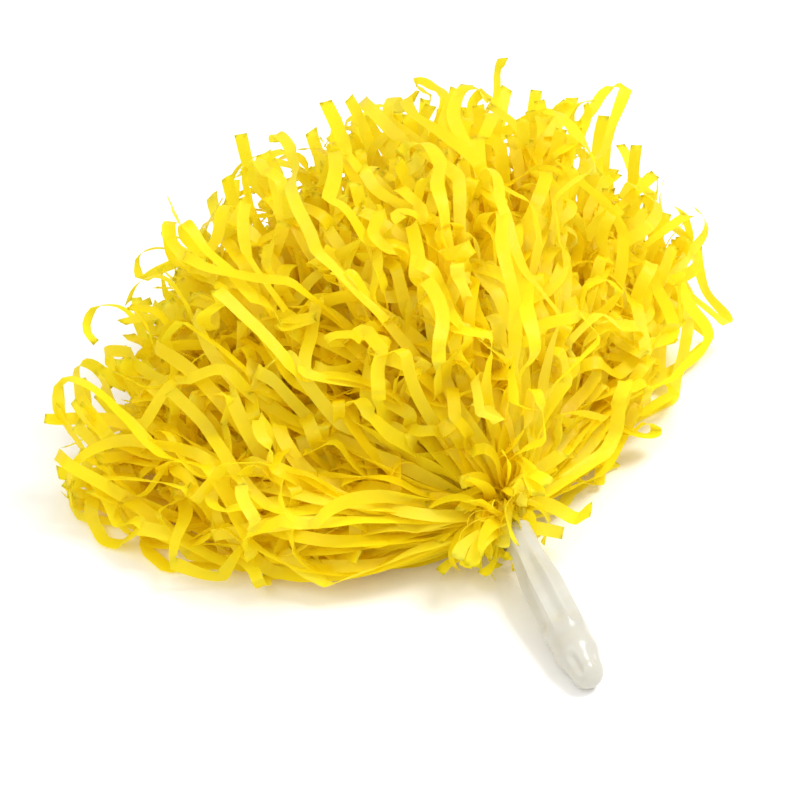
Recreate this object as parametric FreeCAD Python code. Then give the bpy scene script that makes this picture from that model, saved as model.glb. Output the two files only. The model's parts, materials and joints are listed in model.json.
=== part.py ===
"""Cheer pom pom: slit film sheets gathered in the neck of a hollow baton handle, lying on a flat surface.

+X is to the right, +Y runs from the handle to the tips of the strips and +Z is up. The origin lies on the
surface that the pom pom rests on, under the middle of its bounding box. Lengths are in millimetres.
"""
import FreeCAD, Part
import math
import os

# Driving dimensions of the handle, measured along its axis from the mouth
HANDLE_LENGTH = 90.0
HANDLE_TILT = 10.0
NECK_RADIUS = 7.8
NECK_LENGTH = 14.0
RIM_ROUND = 0.8
GRIP_RADIUS = 10.3
GRIP_START = 36.0
GRIP_END = 58.0
WAIST_RADIUS = 9.4
WAIST_AT = 65.0
BAND_RADIUS = 9.8
BAND_AT = 72.0
BUTT_RADIUS = 7.6
WALL = 2.0
CAVITY_END = 84.0
CAVITY_END_RADIUS = 3.0
CAVITY_TAPER = 4.0
MOUTH_CUT = 1.0

# Flutes along the grip and the short scallops round the butt
FLUTE_COUNT = 8
FLUTE_RADIUS = 4.0
FLUTE_DEPTH = 1.0
FLUTE_START = 20.0
FLUTE_END = 55.0
SCALLOP_COUNT = 5
SCALLOP_RADIUS = 3.4
SCALLOP_OUT = 10.4
SCALLOP_START = 78.0
SCALLOP_END = 83.5

# The gathered heads of the sheets, the tie round them and the pin through the neck
GATHER_TO_MOUTH = 9.0
HEAD_RADIUS = 11.5
HEAD_BACK = 4.6
STEM_CLEARANCE = 0.2
STEM_DEPTH = 30.0
TIE_RADIUS = 0.7
PIN_RADIUS = 1.0
PIN_FIT = 0.05
PIN_DEPTH = 8.0
PIN_HEAD_RADIUS = 1.7
PIN_HEAD_HEIGHT = 0.5

# One tuft: the strips of one slit sheet, fanning from the gather with a round end
TUFT_HALF_ANGLE = 6.2
TUFT_START = 14.0
FLOOR_PRESS = 2.0

# Layers from the floor up: azimuth and reach of each tuft on the middle line and the right of it, and
# the layer's elevation, which in the floor layer follows from lying on the surface
FLOOR_LAYER = [(0.0, 238.0), (15.5, 238.0), (31.0, 236.0), (46.5, 228.0), (62.0, 196.0)]
MIDDLE_ELEVATION = 12.0
MIDDLE_LAYER = [(7.9, 240.0), (23.7, 240.0), (39.5, 232.0), (55.3, 204.0)]
UPPER_ELEVATION = 26.0
UPPER_LAYER = [(0.0, 226.0), (17.2, 224.0), (34.4, 204.0)]
CROWN_ELEVATION = 40.5
CROWN_LAYER = [(10.5, 176.0)]

ORIGIN = FreeCAD.Vector(0, 0, 0)
AXIS_X = FreeCAD.Vector(1, 0, 0)
AXIS_Z = FreeCAD.Vector(0, 0, 1)
HALF_SPACE = 1000.0


def revolved(edges):
    """A solid from a closed outline in the XZ half plane, turned once about Z."""
    return Part.makeSolid(Part.Face(Part.Wire(edges)).revolve(ORIGIN, AXIS_Z, 360).Shells[0])


def line(a, b):
    """A straight edge between two (radius, height) points."""
    return Part.LineSegment(FreeCAD.Vector(a[0], 0, a[1]), FreeCAD.Vector(b[0], 0, b[1])).toShape()


def arc(a, middle, b):
    """A round edge through three (radius, height) points."""
    points = [FreeCAD.Vector(p[0], 0, p[1]) for p in (a, middle, b)]
    return Part.Arc(*points).toShape()


def groove_cutter(radius, start, end, out, angle):
    """A round-ended rod along Z, its axis at a distance from the Z axis, for cutting a groove."""
    diagonal = radius * math.sqrt(0.5)
    low = (0, start - radius)
    high = (0, end + radius)
    rod = revolved(
        [
            arc(low, (diagonal, start - diagonal), (radius, start)),
            line((radius, start), (radius, end)),
            arc((radius, end), (diagonal, end + diagonal), high),
            line(high, low),
        ]
    )
    rod.translate(FreeCAD.Vector(out, 0, 0))
    rod.rotate(ORIGIN, AXIS_Z, angle)
    return rod


def onto_handle(shape):
    """From the handle's own frame, mouth at the origin and butt up Z, to its place behind the gather."""
    shape = shape.copy()
    shape.translate(FreeCAD.Vector(0, 0, GATHER_TO_MOUTH))
    shape.rotate(ORIGIN, AXIS_X, 90 + HANDLE_TILT)
    return shape


def handle_body():
    """The handle's outer form: round neck, swelling grip, waist, band and tapered round butt."""
    rim_diagonal = RIM_ROUND * (1 - math.sqrt(0.5))
    butt_at = HANDLE_LENGTH - BUTT_RADIUS
    butt_diagonal = BUTT_RADIUS * math.sqrt(0.5)
    tip = (0, HANDLE_LENGTH)
    return revolved(
        [
            line((0, 0), (NECK_RADIUS - RIM_ROUND, 0)),
            arc(
                (NECK_RADIUS - RIM_ROUND, 0),
                (NECK_RADIUS - rim_diagonal, rim_diagonal),
                (NECK_RADIUS, RIM_ROUND),
            ),
            line((NECK_RADIUS, RIM_ROUND), (NECK_RADIUS, NECK_LENGTH)),
            line((NECK_RADIUS, NECK_LENGTH), (GRIP_RADIUS, GRIP_START)),
            line((GRIP_RADIUS, GRIP_START), (GRIP_RADIUS, GRIP_END)),
            arc((GRIP_RADIUS, GRIP_END), (WAIST_RADIUS, WAIST_AT), (BAND_RADIUS, BAND_AT)),
            line((BAND_RADIUS, BAND_AT), (BUTT_RADIUS, butt_at)),
            arc((BUTT_RADIUS, butt_at), (butt_diagonal, butt_at + butt_diagonal), tip),
            line(tip, (0, 0)),
        ]
    )


def handle_cavity():
    """The hollow inside the handle, open at the mouth, one wall thickness inside the outer form."""
    end = (0, CAVITY_END)
    return revolved(
        [
            line((0, -MOUTH_CUT), (NECK_RADIUS - WALL, -MOUTH_CUT)),
            line((NECK_RADIUS - WALL, -MOUTH_CUT), (NECK_RADIUS - WALL, NECK_LENGTH)),
            line((NECK_RADIUS - WALL, NECK_LENGTH), (GRIP_RADIUS - WALL, GRIP_START)),
            line((GRIP_RADIUS - WALL, GRIP_START), (GRIP_RADIUS - WALL, GRIP_END - CAVITY_TAPER)),
            line((GRIP_RADIUS - WALL, GRIP_END - CAVITY_TAPER), (WAIST_RADIUS - WALL, WAIST_AT)),
            line((WAIST_RADIUS - WALL, WAIST_AT), (WAIST_RADIUS - WALL, BAND_AT)),
            line((WAIST_RADIUS - WALL, BAND_AT), (CAVITY_END_RADIUS, CAVITY_END)),
            line((CAVITY_END_RADIUS, CAVITY_END), end),
            line(end, (0, -MOUTH_CUT)),
        ]
    )


def handle_shell():
    """The hollow fluted handle with its pin hole through both sides of the neck."""
    shell = handle_body()
    for i in range(FLUTE_COUNT):
        out = GRIP_RADIUS + FLUTE_RADIUS - FLUTE_DEPTH
        angle = (i + 0.5) * 360 / FLUTE_COUNT
        shell = shell.cut(groove_cutter(FLUTE_RADIUS, FLUTE_START, FLUTE_END, out, angle))
    for i in range(SCALLOP_COUNT):
        angle = (i + 0.25) * 360 / SCALLOP_COUNT
        shell = shell.cut(groove_cutter(SCALLOP_RADIUS, SCALLOP_START, SCALLOP_END, SCALLOP_OUT, angle))
    shell = shell.cut(handle_cavity())
    return onto_handle(shell.cut(pin_hole()))


def pin_hole():
    """The hole that the pin is driven through, along X."""
    start = FreeCAD.Vector(-2 * NECK_RADIUS, 0, PIN_DEPTH)
    return Part.makeCylinder(PIN_RADIUS + PIN_FIT, 4 * NECK_RADIUS, start, AXIS_X)


def retaining_pin():
    """A headed pin across the neck that stops the gathered sheets from pulling out."""
    left = FreeCAD.Vector(-NECK_RADIUS, 0, PIN_DEPTH)
    shank = Part.makeCylinder(PIN_RADIUS, 2 * NECK_RADIUS, left, AXIS_X)
    head = Part.makeCylinder(PIN_HEAD_RADIUS, PIN_HEAD_HEIGHT, left - AXIS_X * PIN_HEAD_HEIGHT, AXIS_X)
    return onto_handle(shank.fuse(head).removeSplitter())


def tie_ring(radius):
    """A ring of cord round the gathered stem, between the head and the mouth."""
    stem_radius = NECK_RADIUS - WALL - STEM_CLEARANCE
    middle = (HEAD_BACK + GATHER_TO_MOUTH) / 2 - GATHER_TO_MOUTH
    ring = Part.makeTorus(stem_radius, radius, FreeCAD.Vector(0, 0, middle))
    return onto_handle(ring)


def gathered_heads():
    """The uncut heads of all the sheets, rolled into the neck, and the round head where they fan out."""
    stem_radius = NECK_RADIUS - WALL - STEM_CLEARANCE
    head_plane = HEAD_BACK - GATHER_TO_MOUTH
    stem_start = FreeCAD.Vector(0, 0, head_plane - HEAD_BACK)
    stem = Part.makeCylinder(stem_radius, STEM_DEPTH - stem_start.z, stem_start)
    stem = onto_handle(stem.cut(pin_hole()))
    ball = Part.makeSphere(HEAD_RADIUS)
    behind = Part.makeCylinder(2 * HEAD_RADIUS, HALF_SPACE, FreeCAD.Vector(0, 0, head_plane))
    ball = ball.cut(onto_handle(behind))
    return ball.fuse(stem).cut(tie_ring(TIE_RADIUS + PIN_FIT)).removeSplitter()


def tuft(azimuth, elevation, reach):
    """One sheet's strips as a cone with its point at the gather and a round end, cut off near the point."""
    sine = math.sin(math.radians(TUFT_HALF_ANGLE))
    cosine = math.cos(math.radians(TUFT_HALF_ANGLE))
    centre = reach / (1 + sine)
    end_radius = centre * sine
    shoulder = (end_radius * cosine, centre - end_radius * sine)
    slant = math.radians(90 - TUFT_HALF_ANGLE) / 2
    round_middle = (end_radius * math.sin(slant), centre + end_radius * math.cos(slant))
    root = (TUFT_START * sine / cosine, TUFT_START)
    solid = revolved(
        [
            line((0, TUFT_START), root),
            line(root, shoulder),
            arc(shoulder, round_middle, (0, reach)),
            line((0, reach), (0, TUFT_START)),
        ]
    )
    solid.rotate(ORIGIN, AXIS_X, elevation - 90)
    solid.rotate(ORIGIN, AXIS_Z, -azimuth)
    return solid


def floor_elevation(reach, gather_height):
    """The droop that presses a tuft's round end a little into the surface it lies on."""
    sine = math.sin(math.radians(TUFT_HALF_ANGLE))
    centre = reach / (1 + sine)
    return math.degrees(math.asin((centre * sine - FLOOR_PRESS - gather_height) / centre))


def both_sides(layer):
    """Every tuft of a layer from left to right: the listed ones and their mirror images."""
    left = [(-azimuth, reach) for azimuth, reach in reversed(layer) if azimuth > 0]
    return left + layer


def above_floor(shape):
    """A shape without what lies below the surface, which is flattened there."""
    corner = FreeCAD.Vector(-HALF_SPACE, -HALF_SPACE, -HALF_SPACE)
    return shape.cut(Part.makeBox(2 * HALF_SPACE, 2 * HALF_SPACE, HALF_SPACE, corner))


def build_parts():
    """Every sub-part by name, in place on the surface, with the gather above the Y axis."""
    shell = handle_shell()
    gather_height = -shell.optimalBoundingBox(False, False).ZMin
    parts = {
        "handle_shell": shell,
        "retaining_pin": retaining_pin(),
        "tie_cord": tie_ring(TIE_RADIUS),
        "gathered_heads": gathered_heads(),
    }
    for i, (azimuth, reach) in enumerate(both_sides(FLOOR_LAYER)):
        parts[f"slit_sheet_floor_{i + 1}"] = tuft(azimuth, floor_elevation(reach, gather_height), reach)
    layers = {
        "middle": (MIDDLE_ELEVATION, MIDDLE_LAYER),
        "upper": (UPPER_ELEVATION, UPPER_LAYER),
        "crown": (CROWN_ELEVATION, CROWN_LAYER),
    }
    for name, (elevation, layer) in layers.items():
        for i, (azimuth, reach) in enumerate(both_sides(layer)):
            parts[f"slit_sheet_{name}_{i + 1}"] = tuft(azimuth, elevation, reach)
    for name, shape in parts.items():
        shape.translate(FreeCAD.Vector(0, 0, gather_height))
        if name.startswith("slit_sheet_floor"):
            parts[name] = above_floor(shape)
    return parts, gather_height


def centre_along_y(parts):
    """Move every sub-part so that the whole length is centred on the origin; returns the gather's Y."""
    boxes = [shape.optimalBoundingBox(False, False) for shape in parts.values()]
    middle = (min(box.YMin for box in boxes) + max(box.YMax for box in boxes)) / 2
    for shape in parts.values():
        shape.translate(FreeCAD.Vector(0, -middle, 0))
    return -middle


def main():
    os.makedirs("parts", exist_ok=True)
    parts, gather_height = build_parts()
    gather_y = centre_along_y(parts)
    print(f"gather at y {gather_y:.3f}, z {gather_height:.3f}")
    volume = 0.0
    for name, shape in parts.items():
        solids = shape.Solids
        if len(solids) != 1 or not shape.isValid():
            raise ValueError(f"{name} is not one valid solid")
        volume += solids[0].Volume
        solids[0].exportStep(f"parts/{name}.step")
    whole = Part.makeCompound(list(parts.values())).optimalBoundingBox(False, False)
    print(f"{len(parts)} sub-parts, {volume / 1e6:.3f} litres")
    print(f"from {whole.XMin:.2f}, {whole.YMin:.2f}, {whole.ZMin:.2f}")
    print(f"to {whole.XMax:.2f}, {whole.YMax:.2f}, {whole.ZMax:.2f}")


main()
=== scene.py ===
import json

import bpy
import numpy as np
from mathutils import Matrix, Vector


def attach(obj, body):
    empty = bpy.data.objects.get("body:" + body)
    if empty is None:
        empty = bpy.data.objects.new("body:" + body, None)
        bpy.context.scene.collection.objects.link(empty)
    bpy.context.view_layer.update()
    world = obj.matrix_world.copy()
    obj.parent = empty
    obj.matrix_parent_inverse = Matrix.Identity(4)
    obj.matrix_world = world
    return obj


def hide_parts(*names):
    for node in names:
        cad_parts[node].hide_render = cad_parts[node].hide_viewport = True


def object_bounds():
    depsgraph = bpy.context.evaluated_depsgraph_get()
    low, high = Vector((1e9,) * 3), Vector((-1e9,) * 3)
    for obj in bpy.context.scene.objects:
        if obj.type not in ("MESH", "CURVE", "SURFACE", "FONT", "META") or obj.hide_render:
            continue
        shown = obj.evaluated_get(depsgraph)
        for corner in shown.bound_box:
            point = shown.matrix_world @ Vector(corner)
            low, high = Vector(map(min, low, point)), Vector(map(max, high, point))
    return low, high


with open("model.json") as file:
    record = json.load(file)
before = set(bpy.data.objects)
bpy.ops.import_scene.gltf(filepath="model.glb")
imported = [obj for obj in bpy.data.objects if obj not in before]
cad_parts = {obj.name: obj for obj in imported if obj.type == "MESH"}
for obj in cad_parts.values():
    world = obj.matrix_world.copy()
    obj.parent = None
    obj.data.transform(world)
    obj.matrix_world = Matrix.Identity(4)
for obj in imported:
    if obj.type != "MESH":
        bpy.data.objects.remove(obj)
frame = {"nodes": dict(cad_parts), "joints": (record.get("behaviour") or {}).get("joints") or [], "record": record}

cad_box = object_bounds()

# The baton handle is blow moulded in ivory-white plastic: a hollow tube with a plain round neck, a grip with
# eight flutes, a slight waist, a plain band and a tapered round butt with short scallops. The mop is pushed
# into its mouth. Its axis runs from the gather, where the strips fan out, through the mouth to the butt.
joints = {joint["name"]: joint for joint in frame["joints"]}
mounts = {mount["name"]: mount for mount in frame["record"]["mounts"]}
gather = np.array(joints["mop_flop"]["pos_m"])
down_handle = np.array(mounts["grip"]["axis"])
down_handle /= np.linalg.norm(down_handle)
across = np.array([1.0, 0.0, 0.0])
above_handle = np.cross(across, down_handle)

GATHER_TO_MOUTH = 0.009
HANDLE_LENGTH = 0.090
WALL = 0.002
BUTT_RADIUS = 0.0076
NECK_RADIUS = 0.0078
OUTLINE = {
    0.0000: NECK_RADIUS, 0.0120: NECK_RADIUS, 0.0380: 0.0103, 0.0580: 0.0103, 0.0650: 0.0094,
    0.0720: 0.0098, HANDLE_LENGTH - BUTT_RADIUS: BUTT_RADIUS,
}
FLUTE_WINDOW = {0.0: 0.0, 0.009: 0.0, 0.024: 1.0, 0.054: 1.0, 0.063: 0.0, 0.1: 0.0}
SCALLOP_WINDOW = {0.0: 0.0, 0.073: 0.0, 0.079: 1.0, 0.0830: 0.9, 0.0885: 0.0, 0.1: 0.0}
RIM_ROUND = 0.0009
BUTT_THICKNESS = 0.008
FLUTES = 8
FLUTE_DEPTH = 0.0018
SCALLOPS = 5
SCALLOP_DEPTH = 0.0013
SCALLOP_TURN = 1.2
AROUND_HANDLE = 192


def eased(x, points):
    """A curve through the points of a dict of place to value, easing in and out of each one, so that it has
    no corners: between two points the share is 3 t squared less 2 t cubed."""
    places = np.array(list(points))
    values = np.array(list(points.values()))
    span = np.clip(np.searchsorted(places, x, "right") - 1, 0, len(places) - 2)
    t = np.clip((x - places[span]) / (places[span + 1] - places[span]), 0, 1)
    return values[span] + (values[span + 1] - values[span]) * t * t * (3 - 2 * t)


def new_piece(name, points, faces, material, smooth=True):
    """A mesh object at the origin with one material, from an array of points and lists of corners."""
    mesh = bpy.data.meshes.new(name)
    mesh.from_pydata(points.reshape(-1, 3).tolist(), [], faces)
    mesh.polygons.foreach_set("use_smooth", np.full(len(mesh.polygons), smooth))
    mesh.materials.append(material)
    mesh.update()
    piece = bpy.data.objects.new(name, mesh)
    bpy.context.scene.collection.objects.link(piece)
    return piece


def ring_faces(rings, around):
    """Quads between each ring of points and the next, closed round each ring; rows run along the piece."""
    row, column = np.meshgrid(np.arange(rings - 1), np.arange(around), indexing="ij")
    following = (column + 1) % around
    a = row * around + column
    b = row * around + following
    return np.stack([a, b, b + around, a + around], -1).reshape(-1, 4)


def closed_rings(grid):
    """Points and faces of a tube of rings, shape (rings, around, 3), each end closed on its middle point."""
    rings, around = grid.shape[:2]
    points = np.concatenate([grid.reshape(-1, 3), grid[:1].mean(1), grid[-1:].mean(1)])
    quads = ring_faces(rings, around)
    column = np.arange(around)
    following = (column + 1) % around
    start = np.stack([following, column, np.full(around, rings * around)], -1)
    last = (rings - 1) * around
    end = np.stack([last + column, last + following, np.full(around, rings * around + 1)], -1)
    return points, quads.tolist() + start.tolist() + end.tolist()


def along_handle(distance, radius, angle):
    """A point at a distance down the handle from the mouth, at a radius and an angle round its axis."""
    out = np.cos(angle)[..., None] * across + np.sin(angle)[..., None] * above_handle
    return gather + (GATHER_TO_MOUTH + distance)[..., None] * down_handle + radius[..., None] * out


def handle_grid():
    """The handle as one closed surface: from the butt's tip up the outside to the rim, over it and down the
    inside to the cavity's end. The radius is the outline less the flutes and the scallops. The flutes are
    the size of a sine round the handle, so that they meet in crisp ridges, times a window along it; the
    scallops are a raised cosine to the power 2.2, times theirs."""
    turn = np.linspace(0, 2 * np.pi, AROUND_HANDLE, endpoint=False)
    dome = np.linspace(0.04, np.pi / 2, 14)
    tip = HANDLE_LENGTH - BUTT_RADIUS * (1 - np.cos(dome))
    straight = np.linspace(HANDLE_LENGTH - BUTT_RADIUS, RIM_ROUND, 170)[1:]
    lip = np.linspace(0, np.pi, 9)[1:-1]
    inside = np.linspace(RIM_ROUND, HANDLE_LENGTH - BUTT_THICKNESS, 40)
    outer_radius = np.concatenate([BUTT_RADIUS * np.sin(dome), eased(straight, OUTLINE)])
    outer = np.concatenate([tip, straight])
    lip_radius = NECK_RADIUS - WALL / 2 + WALL / 2 * np.cos(lip)
    lip_distance = RIM_ROUND * (1 - np.sin(lip))
    distance = np.concatenate([outer, lip_distance, inside])
    radius = np.concatenate([outer_radius, lip_radius, eased(inside, OUTLINE) - WALL])
    flute = eased(distance, FLUTE_WINDOW)
    scallop = eased(distance, SCALLOP_WINDOW)
    outside = (np.arange(len(distance)) < len(outer))[:, None]
    groove = np.abs(np.sin(FLUTES / 2 * turn))
    thumb = (0.5 + 0.5 * np.cos(SCALLOPS * turn - SCALLOP_TURN)) ** 2.2
    cut = FLUTE_DEPTH * flute[:, None] * groove + SCALLOP_DEPTH * scallop[:, None] * thumb
    radius = radius[:, None] - np.where(outside, cut, 0)
    return along_handle(np.broadcast_to(distance[:, None], radius.shape), radius, turn[None, :])


def node_maker(material):
    """Two short functions for a material's nodes: one adds a node and sets its named sockets, one links."""
    tree = material.node_tree

    def add(kind, **sockets):
        node = tree.nodes.new(kind)
        for name, value in sockets.items():
            node.inputs[name.replace("_", " ")].default_value = value
        return node

    def link(source, target):
        tree.links.new(source, target)

    return add, link


def new_material(name):
    """A material with nodes switched on, its Principled shader, and its two node functions."""
    material = bpy.data.materials.new(name)
    material.use_nodes = True
    shader = next(n for n in material.node_tree.nodes if n.type == "BSDF_PRINCIPLED")
    return material, shader, *node_maker(material)


def colour_ramp(add, link, factor, stops):
    """A colour ramp over (place, colour) stops, fed by a factor; returns its colour output."""
    ramp = add("ShaderNodeValToRGB")
    while len(ramp.color_ramp.elements) < len(stops):
        ramp.color_ramp.elements.new(0.5)
    for element, (place, colour) in zip(ramp.color_ramp.elements, stops):
        element.position = place
        element.color = (*colour, 1)
    link(factor, ramp.inputs["Fac"])
    return ramp.outputs["Color"]


def ivory_plastic():
    """Ivory-white moulded plastic: a faint cloudy tint, a slightly uneven gloss and an orange-peel skin."""
    material, shader, add, link = new_material("ivory_plastic")
    place = add("ShaderNodeTexCoord").outputs["Object"]
    cloud = add("ShaderNodeTexNoise", Scale=38.0, Detail=4.0, Roughness=0.6)
    link(place, cloud.inputs["Vector"])
    tint = colour_ramp(
        add, link, cloud.outputs["Fac"],
        [(0.25, (0.50, 0.475, 0.40)), (0.5, (0.55, 0.53, 0.455)), (0.75, (0.60, 0.585, 0.52))],
    )
    link(tint, shader.inputs["Base Color"])
    gloss = add("ShaderNodeMapRange", To_Min=0.24, To_Max=0.40)
    link(cloud.outputs["Fac"], gloss.inputs["Value"])
    link(gloss.outputs["Result"], shader.inputs["Roughness"])
    peel = add("ShaderNodeTexNoise", Scale=900.0, Detail=2.0)
    link(place, peel.inputs["Vector"])
    flow = add("ShaderNodeTexNoise", Scale=160.0, Detail=3.0)
    link(place, flow.inputs["Vector"])
    coarse = add("ShaderNodeBump", Strength=0.25, Distance=0.0004)
    link(flow.outputs["Fac"], coarse.inputs["Height"])
    fine = add("ShaderNodeBump", Strength=0.12, Distance=0.0001)
    link(peel.outputs["Fac"], fine.inputs["Height"])
    link(coarse.outputs["Normal"], fine.inputs["Normal"])
    link(fine.outputs["Normal"], shader.inputs["Normal"])
    shader.inputs["Subsurface Weight"].default_value = 0.12
    shader.inputs["Subsurface Radius"].default_value = (0.004, 0.0035, 0.0025)
    shader.inputs["Coat Weight"].default_value = 0.25
    shader.inputs["Coat Roughness"].default_value = 0.12
    return material


baton = new_piece("baton_handle", *closed_rings(handle_grid()), ivory_plastic())
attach(baton, "handle")
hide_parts("handle_shell")


# The retaining pin is a headed steel nail. It is driven across the neck and through the gathered film, so
# that the mop can't pull out, and its head has dulled to brown.
def dull_steel():
    """Dull brownish steel with darker spots of rust."""
    material, shader, add, link = new_material("dull_steel")
    place = add("ShaderNodeTexCoord").outputs["Object"]
    spots = add("ShaderNodeTexNoise", Scale=1400.0, Detail=4.0)
    link(place, spots.inputs["Vector"])
    rust = colour_ramp(
        add, link, spots.outputs["Fac"], [(0.35, (0.10, 0.075, 0.03)), (0.65, (0.30, 0.26, 0.15))]
    )
    link(rust, shader.inputs["Base Color"])
    shader.inputs["Metallic"].default_value = 0.8
    shader.inputs["Roughness"].default_value = 0.5
    return material


pin = frame["nodes"]["retaining_pin"]
pin.data.materials.clear()
pin.data.materials.append(dull_steel())


# The tie is a lashing of soft yellow twisted cord, pulled tight round the gathered film just outside the
# mouth. It holds the sheets together while they are pushed into the neck, and the film hides it.
def twisted_cord():
    """Matt yellow yarn: its height goes in slanting stripes, one for each turn of the twist, and the same stripes
    darken its colour in the grooves between the strands, a painted shade.
    """
    material, shader, add, link = new_material("twisted_cord")
    place = add("ShaderNodeTexCoord").outputs["Object"]
    strands_and_groove_shade = add("ShaderNodeTexWave", Scale=420.0, Distortion=1.5, Detail=2.0)
    strands_and_groove_shade.bands_direction = "DIAGONAL"
    link(place, strands_and_groove_shade.inputs["Vector"])
    # The dark end of this ramp falls where the bump is low, in the grooves of the twist: painted shade between the
    # strands, not a colour of the yarn.
    tint = colour_ramp(
        add, link, strands_and_groove_shade.outputs["Fac"], [(0.1, (0.55, 0.38, 0.02)), (0.7, (0.86, 0.66, 0.06))]
    )
    link(tint, shader.inputs["Base Color"])
    shader.inputs["Roughness"].default_value = 0.85
    ridges = add("ShaderNodeBump", Strength=0.6, Distance=0.0002)
    link(strands_and_groove_shade.outputs["Fac"], ridges.inputs["Height"])
    link(ridges.outputs["Normal"], shader.inputs["Normal"])
    return material


tie = frame["nodes"]["tie_cord"]
tie.data.materials.clear()
tie.data.materials.append(twisted_cord())


# Each sheet is thin yellow polythene, slit from one long edge into strips about 6 mm wide. The uncut edge is
# rolled into the neck, and the strips fan out from the gather in their layer: bunched and folded lengthwise
# at the mouth, and crinkled, creased and curled further out, where hands have crumpled them.
STRIPS = 96
STRIP_WIDTH = 0.0064
WIDTH_SPREAD = (0.88, 1.08)
FILM_BODY = 0.00012
ASKEW_CUT = 0.0009
LONGEST_STRIP = 0.285
LENGTH_TO_REACH = 1.28
CRUMPLED_LENGTH = (1.10, 1.30)
SHORTEST_SHARE = 0.90
ROOT_RADIUS = 0.0062
ROOT_FOLD = 0.60
FREE_FOLD = 0.10
STATIONS = 72

# where the strips of a sheet go: angles in radians, positive to the right, and shares of the sheet's reach
CELL_AZIMUTH = np.radians(9.5)
CELL_ELEVATION = np.radians(8.0)
FLANK = np.radians(62)
LEFT_FALL = 0.40
RIGHT_FALL = 0.15
LEFT_FAN = 0.92
RIGHT_FAN = 0.80
FLOOR_FAN = 0.86
SIDE_REACH = [(-1.08, 0.08), (-0.70, -0.11), (-0.15, -0.03), (0.55, 0.08)]
SIDE_WIDTH = 0.22
SHORT_RISE = 0.22
SHORTEST_REACH = {"floor": 0.48, "middle": 0.42, "upper": 0.38, "crown": 0.34}
FARTHEST_REACH = 1.04
SHORTNESS = 1.1
FLOOR_GAP = 0.0010
GAP_SPREAD = 0.004
SOFTNESS = 0.003
STANDING_PROUD = 0.03
STRAY = 0.007
KNEE = 0.014

# how a strip bends: angles in radians, and lengths of straight runs from one crease to the next
RUNS = 16
TURN_RUNS = (0.028, 0.080)
RISE_RUNS = (0.020, 0.060)
LEAN_RUNS = (0.015, 0.060)
CREASE = 0.003
SOFT_CREASE = 0.004
UNRULY = (0.4, 1.5)
LARGEST_TURN = 0.75
TURNING = 1.2
RISING = 0.85
LEANING = 0.8
LEFT_BOW = 0.46
RIGHT_BOW = 0.08
UNBOWED = 0.6
LAYER_DROOP = {"floor": 0.10, "middle": 0.25, "upper": 0.45, "crown": 0.60}
TIP_LIFT = {"floor": 0.35, "middle": 0.7, "upper": 0.85, "crown": 0.7}
LIFTED_TIP = (0.022, 0.060)
TIP_TURN = 0.6
CURLED_TIP = (0.015, 0.050)
CURL_RADIUS = (0.010, 0.035)
CURLED_SHARE = 0.45
STEEPEST = 1.45
random = np.random.default_rng(41)


def yellow_film():
    """Thin yellow polythene. About two thirds of the light passes on through it, tinted by the base colour to
    the power 0.4, as it crosses both faces of a strip. Each strip has its own shade, varied a little in
    patches, with a fine grain along it and crinkles all over."""
    material, shader, add, link = new_material("yellow_film")
    tone = add("ShaderNodeAttribute")
    tone.attribute_name = "tone"
    place = add("ShaderNodeTexCoord").outputs["Object"]
    patch = add("ShaderNodeTexNoise", Scale=70.0, Detail=3.0)
    link(place, patch.inputs["Vector"])
    shift = add("ShaderNodeMapRange", From_Min=0.3, From_Max=0.7, To_Min=-0.12, To_Max=0.12)
    link(patch.outputs["Fac"], shift.inputs["Value"])
    shade = add("ShaderNodeMath")
    link(tone.outputs["Fac"], shade.inputs[0])
    link(shift.outputs["Result"], shade.inputs[1])
    tint = colour_ramp(
        add, link, shade.outputs["Value"],
        [
            (0.05, (0.970, 0.82, 0.006)), (0.40, (0.985, 0.870, 0.012)),
            (0.70, (0.990, 0.890, 0.020)), (0.95, (0.98, 0.90, 0.06)),
        ],
    )
    link(tint, shader.inputs["Base Color"])
    grain_place = add("ShaderNodeUVMap")
    stretch = add("ShaderNodeMapping", Scale=(2600.0, 90.0, 1.0))
    link(grain_place.outputs["UV"], stretch.inputs["Vector"])
    grain = add("ShaderNodeTexNoise", Scale=1.0, Detail=3.0)
    link(stretch.outputs["Vector"], grain.inputs["Vector"])
    crinkle = add("ShaderNodeTexNoise", Scale=330.0, Detail=5.0, Roughness=0.62)
    link(place, crinkle.inputs["Vector"])
    crease = add("ShaderNodeBump", Strength=0.6, Distance=0.0010)
    link(crinkle.outputs["Fac"], crease.inputs["Height"])
    fine = add("ShaderNodeBump", Strength=0.35, Distance=0.00012)
    link(grain.outputs["Fac"], fine.inputs["Height"])
    link(crease.outputs["Normal"], fine.inputs["Normal"])
    link(fine.outputs["Normal"], shader.inputs["Normal"])
    gloss = add("ShaderNodeMapRange", To_Min=0.20, To_Max=0.46)
    link(crinkle.outputs["Fac"], gloss.inputs["Value"])
    link(gloss.outputs["Result"], shader.inputs["Roughness"])
    through = add("ShaderNodeBsdfTranslucent")
    passed = add("ShaderNodeGamma", Gamma=0.40)
    link(tint, passed.inputs["Color"])
    link(passed.outputs["Color"], through.inputs["Color"])
    both = add("ShaderNodeMixShader", Fac=0.68)
    link(shader.outputs["BSDF"], both.inputs[1])
    link(through.outputs["BSDF"], both.inputs[2])
    output = next(n for n in material.node_tree.nodes if n.type == "OUTPUT_MATERIAL")
    link(both.outputs["Shader"], output.inputs["Surface"])
    return material


def smooth_step(x, start, end):
    """0 before start and 1 after end, easing between them."""
    t = np.clip((x - start) / (end - start), 0, 1)
    return t * t * (3 - 2 * t)


def unit(vectors):
    """The vectors, each divided by its length."""
    return vectors / np.linalg.norm(vectors, axis=-1, keepdims=True)


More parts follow.
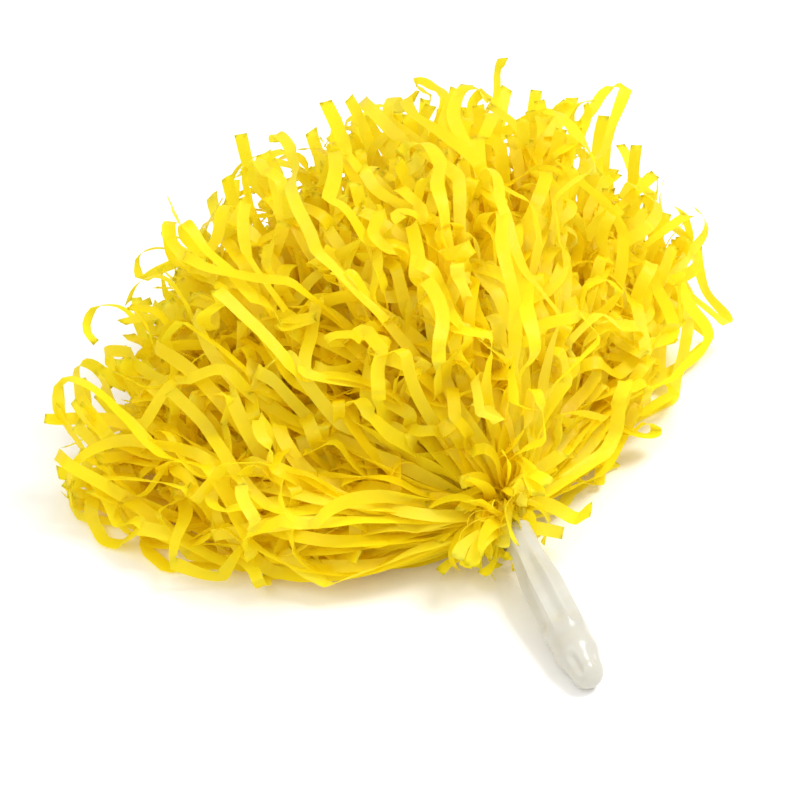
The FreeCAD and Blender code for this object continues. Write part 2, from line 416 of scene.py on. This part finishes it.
def waves(strips, distance, longest, shortest, count=4):
    """For each strip, a sum of sine waves along it, with wavelengths from the longest to the shortest and
    heights in proportion to the square root of the wavelength, scaled to a mean square of one."""
    length = np.geomspace(longest, shortest, count) * random.uniform(0.8, 1.25, (strips, count))
    height = np.sqrt(length) * random.uniform(0.5, 1.0, (strips, count))
    height /= np.sqrt((height**2).sum(1, keepdims=True) / 2)
    phase = random.uniform(0, 2 * np.pi, (strips, count))
    angle = 2 * np.pi * distance[:, None, :] / length[..., None] + phase[..., None]
    return (height[..., None] * np.sin(angle)).sum(1)


def straight_runs(strips, distance, run, corner):
    """For each strip, a value that stays the same along a straight run and goes over to another one at a
    crease: normal values of mean square one, joined over the length of a corner. A run is as long as a
    uniform draw between its two limits."""
    value = random.normal(0, 1, (strips, 1)) * np.ones_like(distance)
    level = value[:, :1]
    place = random.uniform(0, run[1], (strips, 1))
    for _ in range(RUNS):
        following = random.normal(0, 1, (strips, 1))
        value = value + (following - level) * smooth_step(distance, place, place + corner)
        level = following
        place = place + random.uniform(*run, (strips, 1))
    return value


def tip_curls(distance, length):
    """The turn of the last few centimetres of about half the strips, to one face or the other: the length
    past its start over the curl's radius, up to two radians."""
    strips = len(distance)
    start = length - random.uniform(*CURLED_TIP, (strips, 1))
    radius = random.uniform(*CURL_RADIUS, (strips, 1))
    curl = random.choice([-1, 1], (strips, 1)) * (random.random((strips, 1)) < CURLED_SHARE)
    return curl * np.clip((distance - start) / radius, 0, 2.0)


def strip_lines(azimuth, elevation, droop, distance, length, slack, lift):
    """Centre lines from the origin and width directions of strips. A strip's heading bows out to its side
    and back, falls by its droop and is turned and raised in runs, more so from a tenth of its length on. Its
    last few centimetres are turned aside and lifted out of the surface. The strip leans from the heading out
    of its own face, which lies mostly flat upwards and twists slowly. The mean direction of each pair of
    stations times the step between them is added up along it."""
    strips = len(distance)
    share = distance / length
    grow = smooth_step(share, 0.10, 0.55) * (1 - 0.5 * smooth_step(share, 0.82, 0.92))
    bow = np.where(azimuth > 0, RIGHT_BOW, LEFT_BOW) * np.tanh(2 * azimuth)
    bow = bow * np.clip(1 - elevation / UNBOWED, 0, 1)
    turned = azimuth + bow * (1 - 2.2 * smooth_step(share, 0.0, 0.55)) * (1 - smooth_step(share, 0.7, 1.0))
    unruly = random.uniform(*UNRULY, (strips, 1)) * slack * grow
    sideways = TURNING * unruly * straight_runs(strips, distance, TURN_RUNS, CREASE)
    turned = turned + LARGEST_TURN * np.tanh(sideways)
    raised = elevation + droop * (0.45 - smooth_step(share, 0.05, 1.1))
    raised = raised + RISING * unruly * straight_runs(strips, distance, RISE_RUNS, SOFT_CREASE)
    tip = length - random.uniform(*LIFTED_TIP, (strips, 1))
    raised = raised + lift * smooth_step(distance, tip - 0.008, tip + 0.008)
    aside = random.normal(0, TIP_TURN, (strips, 1))
    turned = turned + aside * smooth_step(distance, tip - 0.006, tip + 0.006)
    raised = np.clip(raised, -STEEPEST, STEEPEST)
    heading = np.stack([np.sin(turned) * np.cos(raised), np.cos(turned) * np.cos(raised), np.sin(raised)], -1)
    side = np.stack([np.cos(turned), -np.sin(turned), np.zeros_like(turned)], -1)
    upward = np.cross(side, heading)
    twist = random.normal(0, 0.4, (strips, 1)) + (0.25 + 0.25 * grow) * waves(strips, distance, 0.25, 0.06)
    normal = np.cos(twist)[..., None] * upward + np.sin(twist)[..., None] * side
    width = np.cos(twist)[..., None] * side - np.sin(twist)[..., None] * upward
    lean = (0.12 * slack + LEANING * unruly) * straight_runs(strips, distance, LEAN_RUNS, CREASE)
    lean += 0.06 * waves(strips, distance, 0.06, 0.015) * grow + tip_curls(distance, length)
    forward = np.cos(lean)[..., None] * heading + np.sin(lean)[..., None] * normal
    step = np.diff(distance, axis=1)[..., None]
    path = np.cumsum(0.5 * (forward[:, 1:] + forward[:, :-1]) * step, 1)
    return np.concatenate([np.zeros((strips, 1, 3)), path], 1), width


def ribbons(path, width, fold, half):
    """The corners of every strip, shape (strips, stations, 4, 3): left edge, top, right edge and underside of
    a thin lens. The width direction is squared to the line, and both edges are raised by the fold's angle;
    the end is cut a little askew."""
    forward = unit(np.gradient(path, axis=1))
    width = unit(width - (width * forward).sum(-1, keepdims=True) * forward)
    face = np.cross(width, forward)
    out = half * np.cos(fold)[..., None] * width
    lift = half * np.sin(fold)[..., None] * face
    body = 0.5 * FILM_BODY * face
    points = np.stack([path + out + lift, path + body, path - out + lift, path - body], 2)
    askew = random.normal(0, ASKEW_CUT, (len(path), 1)) * forward[:, -1]
    points[:, -1, 0] += askew
    points[:, -1, 2] -= askew
    return points


def within_box(path):
    """Centre lines, eased back where they would stand too far out of the mop: past a knee, the rest of the
    way to the limit is covered by one less the exponential of minus the excess over that rest."""
    low, high = np.array(cad_box)
    limit = high + STANDING_PROUD * (high - low) + STRAY
    excess = np.clip(np.abs(path) - (limit - KNEE), 0, None)
    return np.sign(path) * (np.abs(path) - excess + KNEE * (1 - np.exp(-excess / KNEE)))


def above_table(points):
    """The points, with what lies under the table's surface eased up to just above it: the gap plus the
    softness times the logarithm of one plus the exponential of the height above the gap over the softness."""
    gap = FLOOR_GAP + GAP_SPREAD * random.random((len(points), 1, 1))
    level = points[..., 2]
    eased_up = gap + SOFTNESS * np.logaddexp(0, (level - gap) / SOFTNESS)
    points[..., 2] = np.where(level > gap + 8 * SOFTNESS, level, eased_up)
    return points


def sheet_length(reach):
    """The length of a sheet's uncut strips: as much longer than its reach as its strips are crumpled."""
    return min(LENGTH_TO_REACH * reach, LONGEST_STRIP)


def sheet_points(direction, reach, layer):
    """The corners of every strip of one sheet, and each station's distance from the gather along its strip.
    Each strip ends at its own place in the sheet's part of the mop: the line is moved there in proportion
    to the distance along it. The reach grows or shrinks by bell curves of the azimuth, and the mop falls
    away to its flanks by the square of it."""
    azimuth = np.arctan2(direction[0], direction[1]) + random.uniform(-1, 1, (STRIPS, 1)) * CELL_AZIMUTH
    elevation = np.arcsin(direction[2]) + random.uniform(-1, 1, (STRIPS, 1)) * CELL_ELEVATION
    elevation *= 1 - np.where(azimuth > 0, RIGHT_FALL, LEFT_FALL) * (azimuth / FLANK) ** 2
    right_fan = RIGHT_FAN * (FLOOR_FAN if layer == "floor" else 1)
    azimuth = azimuth * np.where(azimuth > 0, right_fan, LEFT_FAN)
    short = (1.0 - SHORTEST_REACH[layer]) * random.random((STRIPS, 1)) ** SHORTNESS
    elevation += SHORT_RISE * short * (direction[2] > SHORT_RISE)
    side = 1 + sum(more * np.exp(-(((azimuth - at) / SIDE_WIDTH) ** 2)) for at, more in SIDE_REACH)
    chord = reach * (FARTHEST_REACH - short) * side
    length = chord * random.uniform(*CRUMPLED_LENGTH, (STRIPS, 1))
    length = np.clip(length, SHORTEST_SHARE * sheet_length(reach), sheet_length(reach))
    distance = np.linspace(0, 1, STATIONS) * length
    slack = np.sqrt(-2 * np.log(np.clip(chord / length, 0.4, 0.98)))
    droop = LAYER_DROOP[layer] * random.uniform(0.4, 1.6, (STRIPS, 1))
    lift = TIP_LIFT[layer] * random.normal(1, 0.8, (STRIPS, 1))
    path, width = strip_lines(azimuth, elevation, droop, distance, length, slack, lift)
    end = chord * np.concatenate(
        [np.sin(azimuth) * np.cos(elevation), np.cos(azimuth) * np.cos(elevation), np.sin(elevation)], 1
    )
    path += (end - path[:, -1])[:, None] * (distance / length)[..., None]
    around = random.uniform(0, 2 * np.pi, (STRIPS, 1))
    out = ROOT_RADIUS * np.sqrt(random.random((STRIPS, 1)))
    rim = np.cos(around)[..., None] * across + np.sin(around)[..., None] * above_handle
    path = within_box(path + gather + out[..., None] * rim)
    unfolded = smooth_step(distance, 0.0, random.uniform(0.02, 0.08, (STRIPS, 1)))
    fold = ROOT_FOLD - (ROOT_FOLD - FREE_FOLD) * unfolded + 0.09 * waves(STRIPS, distance, 0.06, 0.02, 3)
    half = 0.5 * STRIP_WIDTH * random.uniform(*WIDTH_SPREAD, (STRIPS, 1, 1))
    return above_table(ribbons(path, width, fold, half)), distance


def film_piece(name, points, distance):
    """One mesh of all strips of a sheet, closed at both ends, with sharp side edges, a UV map in metres and a
    shade for each strip."""
    strips, stations = points.shape[:2]
    per_strip = stations * 4
    one = ring_faces(stations, 4)[:, ::-1]
    caps = np.array([[0, 1, 2, 3], [3, 2, 1, 0]]) + np.array([[0], [(stations - 1) * 4]])
    first_corner = (np.arange(strips) * per_strip)[:, None, None]
    faces = (np.concatenate([one, caps])[None] + first_corner).reshape(-1, 4)
    piece = new_piece(name, points, faces.tolist(), film)
    mesh = piece.data
    pairs = np.empty(2 * len(mesh.edges), np.int32)
    mesh.edges.foreach_get("vertices", pairs)
    corner = pairs.reshape(-1, 2) % 4
    sharp = (corner[:, 0] == corner[:, 1]) & (corner[:, 0] % 2 == 0)
    mesh.attributes.new("sharp_edge", "BOOLEAN", "EDGE").data.foreach_set("value", sharp)
    tone = np.clip(random.normal(0.5, 0.2, (strips, 1, 1)), 0.02, 1) * np.ones((strips, stations, 4))
    mesh.attributes.new("tone", "FLOAT", "POINT").data.foreach_set("value", tone.ravel().astype(np.float32))
    sideways = np.array([-0.5, 0, 0.5, 0]) * STRIP_WIDTH + 0.02 * np.arange(strips)[:, None, None]
    uv = np.stack(np.broadcast_arrays(sideways, distance[..., None]), -1).reshape(-1, 2)
    loops = np.empty(len(mesh.loops), np.int32)
    mesh.loops.foreach_get("vertex_index", loops)
    mesh.uv_layers.new(name="UVMap").data.foreach_set("uv", uv[loops].ravel().astype(np.float32))
    return piece


film = yellow_film()
bodies = frame["record"]["behaviour"]["bodies"]
body_of_node = {node: body for body, nodes in bodies.items() for node in nodes}
for node in sorted(name for name in frame["nodes"] if name.startswith("slit_sheet")):
    mesh = frame["nodes"][node].data
    corners = np.empty(3 * len(mesh.vertices), np.float32)
    mesh.vertices.foreach_get("co", corners)
    arms = corners.reshape(-1, 3) - gather
    far = arms[np.linalg.norm(arms, axis=1).argmax()].astype(float)
    reach = np.linalg.norm(far)
    points, distance = sheet_points(far / reach, reach, node.split("_")[2])
    piece = film_piece(node.replace("slit_sheet", "film_strips"), points, distance)
    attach(piece, body_of_node[node])
    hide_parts(node)


# Some film strips have torn short at the mouth. Their square ends stand out of the gather or hang back over
# the neck and down to the table, mostly on the left; a few have frayed into threads.
ENDS = 80
END_STATIONS = 16
END_LENGTH = 0.052
END_SLACK = 0.9
LEFT_SHARE = 0.8
LEFT_ENDS = (-2.7, -0.8)
RIGHT_ENDS = (0.3, 1.2)
THREADS = 9
THREAD_ENDS = (-2.3, -1.7)
THREAD_RADIUS = 0.00025


def torn_ends():
    """Short strips: each leaves the gather at its own azimuth and elevation and droops along it. The first
    few are as thin as threads."""
    left = random.random((ENDS, 1)) < LEFT_SHARE
    azimuth = np.where(left, random.uniform(*LEFT_ENDS, (ENDS, 1)), random.uniform(*RIGHT_ENDS, (ENDS, 1)))
    elevation = random.uniform(-0.2, 0.7, (ENDS, 1))
    azimuth[:THREADS] = random.uniform(*THREAD_ENDS, (THREADS, 1))
    elevation[:THREADS] = random.uniform(-0.5, 0.1, (THREADS, 1))
    length = END_LENGTH * random.uniform(0.6, 1.0, (ENDS, 1))
    distance = np.linspace(0, 1, END_STATIONS) * length
    droop = random.uniform(0.4, 1.8, (ENDS, 1))
    path, width = strip_lines(azimuth, elevation, droop, distance, length, END_SLACK, 0.0)
    around = random.uniform(0, 2 * np.pi, (ENDS, 1, 1))
    path += gather + ROOT_RADIUS * (np.cos(around) * across + np.sin(around) * above_handle)
    fold = 0.5 - 0.4 * smooth_step(distance, 0.0, 0.03)
    half = 0.5 * STRIP_WIDTH * random.uniform(*WIDTH_SPREAD, (ENDS, 1, 1))
    half[:THREADS] = THREAD_RADIUS
    return above_table(ribbons(path, width, fold, half)), distance


ends = film_piece("torn_film_ends", *torn_ends())
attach(ends, "handle")


# The uncut edges of the sheets are rolled together and pushed into the neck, where the pin holds them. Just
# outside the mouth they bulge out in tight pleats, from which the strips part.
HEAD_RADIUS = 0.0088
HEAD_END = 2.35
STEM_RADIUS = 0.0060
STEM_END = 0.012
PLEATS = 19


def pleated_head():
    """A round head, its radius pleated by the size of a sine of the angle round the handle times the sine of
    the polar angle, narrowing to a stem in the neck with faint waves round it."""
    turn = np.linspace(0, 2 * np.pi, 240, endpoint=False)
    polar = np.linspace(0.05, HEAD_END, 40)
    pleat = 1 + 0.09 * np.abs(np.sin(PLEATS * turn)) * np.sin(polar)[:, None]
    distance = -HEAD_RADIUS * np.cos(polar) - GATHER_TO_MOUTH
    radius = HEAD_RADIUS * np.sin(polar)[:, None] * pleat
    stem = np.linspace(distance[-1] + 0.0005, STEM_END, 12)
    stem_radius = STEM_RADIUS * np.ones((len(stem), 1)) * (1 + 0.03 * np.sin(PLEATS * turn))
    distance = np.concatenate([distance, stem])
    radius = np.concatenate([radius, stem_radius])
    return along_handle(np.broadcast_to(distance[:, None], radius.shape), radius, turn[None, :])[::-1]


head = new_piece("gathered_film", *closed_rings(pleated_head()), film)
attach(head, "handle")
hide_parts("gathered_heads")


# The pom pom lies on a plain white table in a white room, seen from above the handle's left. A soft key light
# hangs over its right side and a wide, weaker one fills the shadows from the front left.
table_material, table_shader, _, _ = new_material("white_table")
table_shader.inputs["Base Color"].default_value = (0.96, 0.96, 0.955, 1)
table_shader.inputs["Roughness"].default_value = 0.85
TABLE = 6.0
table_corners = TABLE * np.array([[-1, -1, 0], [1, -1, 0], [1, 1, 0], [-1, 1, 0]], float)
table = new_piece("white_table", table_corners, [[0, 1, 2, 3]], table_material, smooth=False)

world = bpy.data.worlds.new("studio")
world.use_nodes = True
world.node_tree.nodes["Background"].inputs["Color"].default_value = (1.0, 1.0, 1.0, 1)
world.node_tree.nodes["Background"].inputs["Strength"].default_value = 0.84
bpy.context.scene.world = world
bpy.context.scene.view_settings.view_transform = "Standard"
bpy.context.scene.cycles.diffuse_bounces = 32
bpy.context.scene.cycles.transmission_bounces = 48
bpy.context.scene.cycles.max_bounces = 48

AZIMUTH = np.radians(-20.5)
ELEVATION = np.radians(38.0)
back = np.array(
    [np.sin(AZIMUTH) * np.cos(ELEVATION), -np.cos(AZIMUTH) * np.cos(ELEVATION), np.sin(ELEVATION)]
)
right = np.array([np.cos(AZIMUTH), np.sin(AZIMUTH), 0.0])
up = np.cross(back, right)


def aim(thing, place, target):
    """Puts a light or the camera at a place, looking at a target with its top upwards."""
    looking = np.array(place) - np.array(target)
    looking /= np.linalg.norm(looking)
    sideways = np.cross([0, 0, 1], looking)
    sideways /= np.linalg.norm(sideways)
    turned = np.eye(4)
    turned[:3] = np.stack([sideways, np.cross(looking, sideways), looking, place], 1)
    thing.matrix_world = Matrix(turned.tolist())


def soft_light(name, place, size, watts):
    """A square area light that faces the middle of the mop."""
    lamp = bpy.data.lights.new(name, "AREA")
    lamp.size = size
    lamp.energy = watts
    light = bpy.data.objects.new(name, lamp)
    bpy.context.scene.collection.objects.link(light)
    aim(light, place, gather + np.array([0, 0.12, 0.02]))


soft_light("key_light", 0.65 * right + 0.15 * back + np.array([0, 0.15, 1.1]), 0.5, 10.5)
soft_light("fill_light", -0.7 * right + 0.9 * back + np.array([0, 0, 0.5]), 1.2, 5.5)

LENS = 98.0
SENSOR = 36.0
CAMERA_DISTANCE = 1.001
GATHER_RIGHT = 0.0492
GATHER_DOWN = 0.0533
target = gather - GATHER_RIGHT * right + GATHER_DOWN * up
lens = bpy.data.cameras.new("camera")
lens.lens = LENS
lens.sensor_width = SENSOR
camera = bpy.data.objects.new("camera", lens)
bpy.context.scene.collection.objects.link(camera)
aim(camera, target + CAMERA_DISTANCE * back, target)
bpy.context.scene.camera = camera
